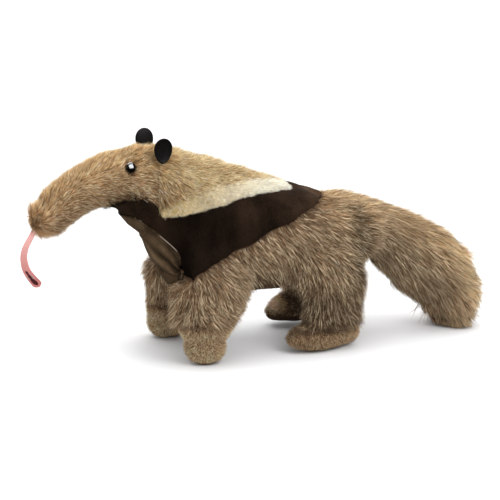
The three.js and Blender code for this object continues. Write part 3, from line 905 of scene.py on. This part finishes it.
# Stray hairs: nearly all pale and standing tall; their paleness is partly painted light, for the glow through
# fibres at the coat's edge.
stray_hairs = (0.1, "#4a3725", 0.9, "#ead0a8")
foot_hairs = (0.12, "#4a3826", 0.12, "#e2cba6")
body_pieces = ("trunk_front", "trunk_back", "hindquarters", "tail_root", "tail_middle", "tail_end")
body_cuts = mm([10, 62, 126, 166, 206])


def body_piece(points):
    """Which coat piece a place on the long brown pile belongs to: one of body_pieces, or after them a leg."""
    along = np.digitize(points[:, 0], body_cuts)
    return np.where(on_leg(points) > 0.5, len(body_pieces) + nearest_leg(points), along)


def body_length(points, deep):
    """The long pile's length: longer on the tail but for its end, shorter where the cover is near a seam or
    the floor, and on the legs no longer than reaches just below the ankle."""
    long = mm(18) + mm(8) * rise(points[:, 0], 110, 60)
    long = long * np.clip(0.45 + deep / mm(13), 0.5, 1) * (1 - 0.45 * rise(points[:, 0], 226, 14))
    to_foot = mm(7) + 0.8 * np.clip(above_ankle(points), 0, 1)
    return np.where(on_leg(points) > 0.3, np.minimum(long, to_foot), long)


def body_height(points, normals, deep):
    """How far the long pile stands out: less on the tail's underside and end, more at the heels, under the
    belly, on the far shoulder and along the rump's crest."""
    x, y, z = points.T
    leg, end = on_leg(points), rise(x, 160, 30)
    under = np.clip(-normals[:, 2] - 0.1, 0, 0.5) + 1.2 * np.clip(normals[:, 0] - 0.5, 0, 0.5)
    heel = leg * (x > 0) * np.clip(normals[:, 0], 0, 1)
    belly = rise(z, 92, -8) * (1 - leg) * (abs(x) < mm(70))
    fluff = (y > 0) * (x < mm(-84)) * rise(z, 70, 10)
    crest = np.clip(normals[:, 2], 0, 1) * rise(x, 62, 12) * (1 - end)
    return deep * (1 - 0.75 * end * under) * (1 + 0.3 * heel + 0.9 * belly + 0.4 * fluff + 0.2 * crest)


# Each kind of tuft: how many on a square millimetre, its share of the full length, its width in millimetres,
# whether it is bent, its hairs, the spread of its tone, how tall it stands and how far it strays.
body_kinds = [(0.55, 1.0, 0.82, True, brown_hairs, 0.24, 1.05, 0.12),
              (0.92, 0.72, 0.6, False, brown_hairs, 0.3, 1.0, 0.2),
              (0.1, 0.95, 0.45, False, stray_hairs, 0.15, 1.4, 0.25)]
body_roots = []
for seed, (density, *_) in enumerate(body_kinds):
    place, normal, deep = scattered("body", density, np.random.default_rng(77 + seed))
    body_roots.append((place, normal, body_height(place, normal, deep), body_piece(place)))
for index, name in enumerate(body_pieces + tuple(f"leg_{leg}" for leg in legs)):
    rng = np.random.default_rng(100 + index)
    parts = []
    for (place, normal, deep, belongs), (_, share, wide, bent, *look) in zip(body_roots, body_kinds):
        place, normal, deep = picked(belongs == index, place, normal, deep)
        length = share * body_length(place, deep)
        parts.append(tufts((place, normal, deep), length, mm(wide), bent, brown, rng, *look))
    # The sleeve's loose edge: more tufts from just above the ankle, on the left front leg parted in front.
    full, proud = {"leg_front_left": (19, 3.5), "leg_front_right": (8, 1.2)}.get(name, (14, 3.5))
    edge_kinds = () if name in body_pieces else ((0.85, True), (0.6, False))
    for (place, normal, deep, belongs), (wide, bent) in zip(body_roots, edge_kinds):
        own = (belongs == index) & (above_ankle(place) > mm(0.5)) & (above_ankle(place) < mm(15))
        place, normal, deep = picked(own, place, normal, deep)
        far_off, behind = 1, 0
        if name == "leg_front_left":
            far_off = np.clip(abs(sleeve_parting(place)[0]) / mm(13), 0, 1)
            behind = rise(place[:, 0], -64, 10)
        long = mm(full) * (0.4 + 0.65 * far_off) * (1 - 0.45 * behind)
        parts.append(tufts((place, normal, deep + mm(proud)), long, mm(wide), bent, brown, rng, brown_hairs,
                           0.26, 1.0, 0.12))
    coat(f"coat_{name}", parts, brown_pile)

rng = np.random.default_rng(78)
foot_roots = scattered("feet", 2.0, rng)
for index, leg in enumerate(legs):
    place, normal, deep = picked(nearest_leg(foot_roots[0]) == index, *foot_roots)
    length = mm(4.6) * np.clip(0.4 + place[:, 2] / mm(12), 0.4, 1)
    coat(f"coat_foot_{leg}", [tufts((place, normal, deep + mm(0.8)), length, mm(0.5), False, brown, rng,
                                    foot_hairs, 0.25, 1.2, 0.35)], brown_pile)


# The velour's frayed edge
# Where the dark velour is sewn in under the cheek, its cut edge shows as short dark spikes before the
# pale pile.
rng = np.random.default_rng(90)
yoke_faces = form_faces[made_of(face_fabric, "yoke")]
yoke_middles = skin[yoke_faces].mean(1)
near_edge = ((-seam_fields(yoke_middles)["pale"] < mm(5)) & (yoke_middles[:, 0] > mm(-172))
             & (yoke_middles[:, 0] < mm(-132)))
spikes_per_face = 2.0
count = int(near_edge.sum() * spikes_per_face)
chosen = yoke_faces[rng.choice(np.flatnonzero(near_edge), count)]
place, normal = on_skin(chosen, rng.dirichlet((1, 1, 1), count))
way = np.array([0.1, 0, 1.0]) + rng.normal(0, 0.3, (count, 3))
points, faces = blades(place, normal, way, mm(9.5) * rng.uniform(0.5, 1.2, count),
                       mm(6.5) * rng.uniform(0.5, 1.2, count), np.full(count, mm(0.7)), False,
                       rng.normal(0, 0.2, count))
colours = np.broadcast_to(linear("#1d140d"), (4 * count, 3))
flat = patches(place, [(-1, -1), (1, -1), (0, -1), (0, 1)])
coat("fringe_throat", [(points.reshape(-1, 3), faces, colours, flat)],
     pile_material("dark_velour_edge", "#5b4636", 0.1))


# The pale line at the chest seam
# A thin pale cord lies on each side along the seam where the chest panel meets the yoke.
def closed(name, grid, order=1):
    """A closed piece, or several, from rings of corners; the order is that of each face's corners. The
    corners at a pole become one, and all faces turn outwards."""
    rings, sides = grid.shape[-3:-1]
    k = np.arange((rings - 1) * sides).reshape(rings - 1, sides)
    after = np.roll(k, -1, axis=1)
    faces = np.stack([k, after, after + sides, k + sides], 2).reshape(-1, 4)[:, ::order]
    starts = np.arange(0, grid.size // 3, rings * sides)
    piece = mesh_object(name, grid.reshape(-1, 3), (faces + starts[:, None, None]).reshape(-1, 4))
    mesh = bmesh.new()
    mesh.from_mesh(piece.data)
    bmesh.ops.remove_doubles(mesh, verts=mesh.verts, dist=1e-6)
    bmesh.ops.recalc_face_normals(mesh, faces=mesh.faces)
    mesh.to_mesh(piece.data)
    mesh.free()
    piece.data.polygons.foreach_set("use_smooth", np.ones(len(piece.data.polygons), bool))
    return piece


def full_turn(sides):
    """Angles all round, one for each side."""
    return np.linspace(0, 2 * np.pi, sides, endpoint=False)


def cord(name, line, radius, sides=8):
    """A closed round cord along a line, with tapered ends: rings square to the way along it."""
    onward = unit(np.gradient(line, axis=0))
    first = unit(np.cross(onward, [0, 0, 1.0]))
    second = np.cross(onward, first)
    taper = np.sin(np.linspace(0, np.pi, len(line))) ** 0.4
    taper[[0, -1]] = 0
    turn = full_turn(sides)[None, :, None]
    ring = first[:, None] * np.cos(turn) + second[:, None] * np.sin(turn)
    return closed(name, line[:, None] + radius * taper[:, None, None] * ring)


def thread(name, roughness, size, twist, dark, pale):
    """Spun thread: slanting strands a size in millimetres apart, more uneven with more twist. They are drawn
    coarser than real ones, so that they show."""
    new, tree, surface = material(name, Roughness=roughness, Specular_IOR_Level=0.3)
    place = node(tree, "TexCoord")
    strands = node(tree, "TexWave", {"Vector": (place, "Object"), "Scale": 1 / mm(size), "Distortion": twist})
    tint = node(tree, "ValToRGB", {"Fac": (strands, "Fac")}, [(0.35, dark), (0.65, pale)])
    feed(tree, surface, {"Base Color": (tint, "Color")})
    return new


chest_seam_finish = thread("pale_seam_cord", 0.5, 1.0, 1.0, "#75685f", "#a3968c")
seam_middle, cord_heights = mm(123), np.linspace(mm(114.6), mm(132.2), 24)
at_panel = (abs(seam_fields(skin)["panel"]) < mm(1.2)) & (skin[:, 0] < mm(-84))
at_panel &= (skin[:, 2] > mm(108)) & (skin[:, 2] < mm(138))
for side, sign in (("left", -1), ("right", 1)):
    on_seam = at_panel & (sign * skin[:, 1] > mm(20))
    seam_points = skin[on_seam] + skin_normals[on_seam] * mm(1.3)
    fits = [np.polyfit(seam_points[:, 2] - seam_middle, seam_points[:, axis], 3) for axis in (0, 1)]
    line = np.stack([np.polyval(fit, cord_heights - seam_middle) for fit in fits] + [cord_heights], 1)
    fitted(cord(f"chest_seam_cord_{side}", line, mm(0.42)), chest_seam_finish)


# The ears
# Each is an egg-shaped leaf of black imitation leather with a turned edge, dished to the outside and sewn in
# at its narrow foot.
ear_profile = np.array([(0, 0.1), (0.2, 0.16), (0.4, 0.4), (0.6, 0.8), (0.76, 1.3), (0.84, 1.8), (0.9, 2.4),
                        (0.95, 2.6), (0.99, 2.2), (1.0, 1.6), (0.985, 0.9), (0.94, 0.4), (0.86, 0),
                        (0.7, -0.5), (0.5, -1.0), (0.25, -1.35), (0, -1.45)])
outward_y = {"left": -1, "right": 1}


def leaf(side, turns=56):
    """A closed dish: ear_profile (share of the outline, millimetres out) carried round an egg outline, as
    wide at a turn as the sine, narrowed towards the foot, and as high as the cosine, longer downwards."""
    low, high = (np.array(v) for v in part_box(f"ear_{side}"))
    size, outward = high - low, outward_y[side]
    turn = full_turn(turns)[None]
    down = np.where(np.cos(turn) < 0, 0.5, 0.44)
    foot = ((1 - np.cos(turn)) / 2) ** 1.8
    share, out = ear_profile.T[:, :, None]
    x = (low + high)[0] / 2 + share * np.sin(turn) * (1.16 - 0.26 * foot) * size[0] / 2
    up = share * np.cos(turn) * down * size[2]
    z = high[2] - 0.43 * size[2] + up
    lean = (up / size[2] - 0.08) * (size[1] - mm(2.6))
    y = (low + high)[1] / 2 + outward * (lean + mm(out) - mm(0.5))
    return closed(f"leaf_ear_{side}", np.stack(np.broadcast_arrays(x, y, z), 2), outward)


# The embossed grain of 0.8 mm scatters the light, so that the leather looks nearly matt.
ear_leather, tree, surface = material("black_imitation_leather", Roughness=0.5, Specular_IOR_Level=0.1)
own_place = node(tree, "TexCoord")
grain = node(tree, "TexVoronoi", {"Vector": (own_place, "Object"), "Scale": 1 / mm(0.8)})
tint = node(tree, "ValToRGB", {"Fac": (grain, "Distance")}, [(0.35, "#090807"), (0.65, "#121110")])
relief = node(tree, "Bump", {"Height": (grain, "Distance"), "Strength": 0.6, "Distance": mm(0.25)})
feed(tree, surface, {"Base Color": (tint, "Color"), "Normal": (relief, "Normal")})
for side in ("left", "right"):
    fitted(leaf(side), ear_leather, [f"ear_{side}"])


# The eyes
# Black plastic domes on stems that are pulled tight into the plush.
def dome(side, rings=24, sides=40):
    """A flattened ball: its short axis points up and out by the tilt, and its middle is sunk a little."""
    low, high = (np.array(v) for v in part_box(f"eye_{side}"))
    polar = np.linspace(0, np.pi, rings + 1)[:, None]
    turn = full_turn(sides)[None]
    a = mm(5.8) * np.sin(polar) * np.cos(turn)
    b = mm(5.8) * np.sin(polar) * np.sin(turn)
    c = mm(3.8) * np.cos(polar) + 0 * turn
    tilt, outward = np.radians(29), outward_y[side]
    out = np.array([0, outward * np.cos(tilt), np.sin(tilt)])
    up = np.array([0, -outward * np.sin(tilt), np.cos(tilt)])
    middle = (low + high) / 2 - mm(0.4) * out + mm([0.8, 0, 0])
    return closed(f"dome_eye_{side}",
                  middle + a[..., None] * np.array([1, 0, 0]) + b[..., None] * up + c[..., None] * out)


# Moulded and polished: nearly black in itself, with one sharp bright spot.
eye_plastic, tree, surface = material("black_eye_plastic", Roughness=0.12, Specular_IOR_Level=1.0,
                                      Coat_Weight=1.0, Coat_Roughness=0.08)
cloud = node(tree, "TexNoise", {"Vector": (node(tree, "TexCoord"), "Object"), "Scale": 1 / mm(6)})
tint = node(tree, "ValToRGB", {"Fac": (cloud, "Fac")}, [(0.35, "#050403"), (0.65, "#0b0806")])
feed(tree, surface, {"Base Color": (tint, "Color")})
for side in ("left", "right"):
    fitted(dome(side), eye_plastic, [f"eye_{side}"])


# The tongue
# A strip of pink felt sewn into the mouth; it hangs, curls, and turns its flat side out towards the tip,
# where a small ant is embroidered: three pads of maroon satin stitch, and legs of single grey stitches.
path = smooth_line([(-234, 148.5), (-242, 143), (-248.2, 133), (-253.4, 123.5), (-255.4, 113.5),
                    (-253.4, 102), (-248, 92.5), (-239.5, 82)], 10)
run = np.concatenate([[0], np.cumsum(np.linalg.norm(np.diff(path, axis=0), axis=1))])
tongue_width, tongue_thickness, tongue_length = mm(11), mm(2.2), run[-1]


def on_path(share):
    """The place at a share of the tongue's length."""
    x, z = (np.interp(share * tongue_length, run, path[:, k]) for k in (0, 1))
    return np.stack([x, 0 * share, z], -1)


def tongue_frame(share):
    """At a share of the length: the middle, and the ways along, across and out of the strip's flat side,
    which is turned by 10 degrees at the root and by 40 more, as the share's square, at the tip."""
    onward = unit(on_path(share + 0.01) - on_path(share - 0.01))
    twist = np.radians(10 + 40 * share**2)[..., None]
    upright = np.stack([-onward[..., 2], 0 * share, onward[..., 0]], -1)
    across = np.array([0, -1, 0]) * np.cos(twist) + upright * np.sin(twist)
    return on_path(share), onward, across, np.cross(onward, across)


share, spots = np.linspace(0, 1, 61), np.linspace(-0.5, 0.5, 13)
middle, _, across, _ = tongue_frame(share)
end_round = np.sqrt(np.clip(1 - ((share - 0.93) / 0.07).clip(0, 1) ** 2.6, 0.02, 1))
narrow = np.interp(share, (0, 0.35, 0.8, 1), (0.62, 0.7, 1, 1)) * end_round
grid = middle[:, None] + across[:, None] * (spots[None, :, None] * (tongue_width * narrow)[:, None, None])
row = len(spots)
k = (np.arange(len(share) - 1)[:, None] * row + np.arange(row - 1)).ravel()
tongue = mesh_object("felt_tongue", grid.reshape(-1, 3), np.stack([k, k + 1, k + row + 1, k + row], 1))
set_up(tongue.modifiers.new("felt", "SOLIDIFY"), thickness=tongue_thickness, offset=0)
set_up(tongue.modifiers.new("edge", "BEVEL"), width=mm(0.5), segments=2)
# Painted shade: the pink darkens towards the tip, which hangs lowest.
paint(tongue, np.repeat(mixed("#d9a39d", "#b8716d", (share - 0.25) / 0.6), row, axis=0))
# Pressed felt: its matted fibres mottle the pink and leave no gloss; they are drawn coarser than real ones.
felt, tree, surface = material("pink_felt", Roughness=0.9, Sheen_Weight=0.1, Sheen_Tint=rgba("#ffd9d4"),
                               Specular_IOR_Level=0.1)
own_place = node(tree, "TexCoord")
fibres = node(tree, "TexNoise", {"Vector": (own_place, "Object"), "Scale": 1 / mm(0.8), "Detail": 4.0})
shade = node(tree, "MapRange", {"Value": (fibres, "Fac"), "From Min": 0.3, "From Max": 0.7, "To Min": 0.8,
                                "To Max": 1.1})
dye = node(tree, "Attribute", attribute_name="Pile")
tint = node(tree, "VectorMath", {0: (dye, "Color"), "Scale": (shade, "Result")}, operation="SCALE")
relief = node(tree, "Bump", {"Height": (fibres, "Fac"), "Strength": 0.4, "Distance": mm(0.3)})
feed(tree, surface, {"Base Color": (tint, "Vector"), "Normal": (relief, "Normal")})


def pads(name, places, rings=7, sides=20):
    """Low domes on the tongue's outer side: each is (share, millimetres across, half length, half width, turn
    in degrees, height), and its height is the full height times one less the square of the way to its rim."""
    share, offset, half_long, half_wide, turned, height = np.array(places, float).T[:, :, None]
    middle, onward, across, out = tongue_frame(share[:, 0])
    angle = np.radians(turned)
    long_way = onward * np.cos(angle) + across * np.sin(angle)
    wide_way = across * np.cos(angle) - onward * np.sin(angle)
    centre = middle + across * mm(offset) + out * (tongue_thickness / 2 - mm(0.15))
    r, turn = np.linspace(1, 0, rings)[:, None], full_turn(sides)[None]
    a, b, c = (part[None] * mm(size)[:, :, None] for part, size in (
        (r * np.cos(turn), half_long), (r * np.sin(turn), half_wide), ((1 - r**2) + 0 * turn, height)))
    centre, long_way, wide_way, out = (way[:, None, None] for way in (centre, long_way, wide_way, out))
    return closed(name, centre + a[..., None] * long_way + b[..., None] * wide_way + c[..., None] * out)


ant = pads("ant_pads", [(0.9, 0.3, 5.4, 3.3, 0, 1.0), (0.81, 0.2, 3.6, 2.6, 0, 0.9),
                        (0.745, 0, 2.6, 2.1, 0, 0.8)])
ant_legs = pads("ant_legs", [(0.82 + 0.024 * row, side * 3.3, 1.9, 0.5, side * (90 - 28 * row), 0.6)
                             for row in (-1, 0, 1) for side in (-1, 1)])
fitted(tongue, felt, ["tongue"])
fitted(ant, thread("maroon_satin_stitch", 0.45, 1.6, 2.0, "#2f0d10", "#5b2226"))
fitted(ant_legs, thread("grey_thread", 0.55, 1.2, 2.0, "#8d7f7c", "#c3b9b4"))


# The floor, the light and the camera
# A white sweep under soft studio light from above and from the front left, and a long lens 3 m away. Two
# windows show in the eyes' gloss only.
floor = mesh_object("floor", np.array([(-30, -30, 0), (30, -30, 0), (30, 30, 0), (-30, 30, 0)], float),
                    np.array([[0, 1, 2, 3]]))
paper, tree, surface = material("white_paper", Roughness=0.9, Specular_IOR_Level=0.1)
surface.inputs["Base Color"].default_value = (0.72, 0.72, 0.725, 1)
floor.data.materials.append(paper)
floor.visible_glossy = False

world = bpy.data.worlds.new("studio")
bpy.context.scene.world = world
world.use_nodes = True
world.node_tree.nodes["Background"].inputs["Color"].default_value = (1, 1, 1, 1)
world.cycles_visibility.glossy = False


def turned_to(way):
    """The turn of a light or a camera that looks along a way."""
    return Vector(way).to_track_quat("-Z", "Y").to_euler()


def lamp(name, kind, place, target, energy, for_gloss=False, **settings):
    """A light at a place, turned to its target; it shows in gloss, or else it lights."""
    light = set_up(bpy.data.lights.new(name, kind), energy=energy, **settings)
    new_object(name, light, location=place, rotation_euler=turned_to(Vector(target) - Vector(place)),
               visible_glossy=for_gloss, visible_diffuse=not for_gloss)


lamp("overhead", "SUN", (0, 0, 0), (-0.12, -0.3, -1), 2.6, angle=np.radians(85))
lamp("key", "AREA", (0.5, -1.7, 1.7), (0, 0, 0.1), 24, shape="SQUARE", size=1.2)
lamp("window_left", "AREA", (0, -0.94, 1.57), (-0.148, -0.024, 0.204), 80, True, shape="SQUARE", size=1.9)
lamp("window_right", "AREA", (0.08, 1.46, 0.98), (-0.148, 0.024, 0.204), 80, True, shape="SQUARE", size=1.9)

azimuth, elevation, camera_distance = np.radians(21), np.radians(13.5), 3.0
target = np.array([-0.0085, 0, 0.1006])
view_width, sensor_width = 0.525, 36
forward = np.array([np.sin(azimuth) * np.cos(elevation), np.cos(azimuth) * np.cos(elevation),
                    -np.sin(elevation)])
lens = set_up(bpy.data.cameras.new("camera"), sensor_width=sensor_width,
              lens=sensor_width * camera_distance / view_width)
bpy.context.scene.camera = new_object("camera", lens, location=target - forward * camera_distance,
                                      rotation_euler=turned_to(forward))
bpy.context.scene.view_settings.view_transform = "Standard"
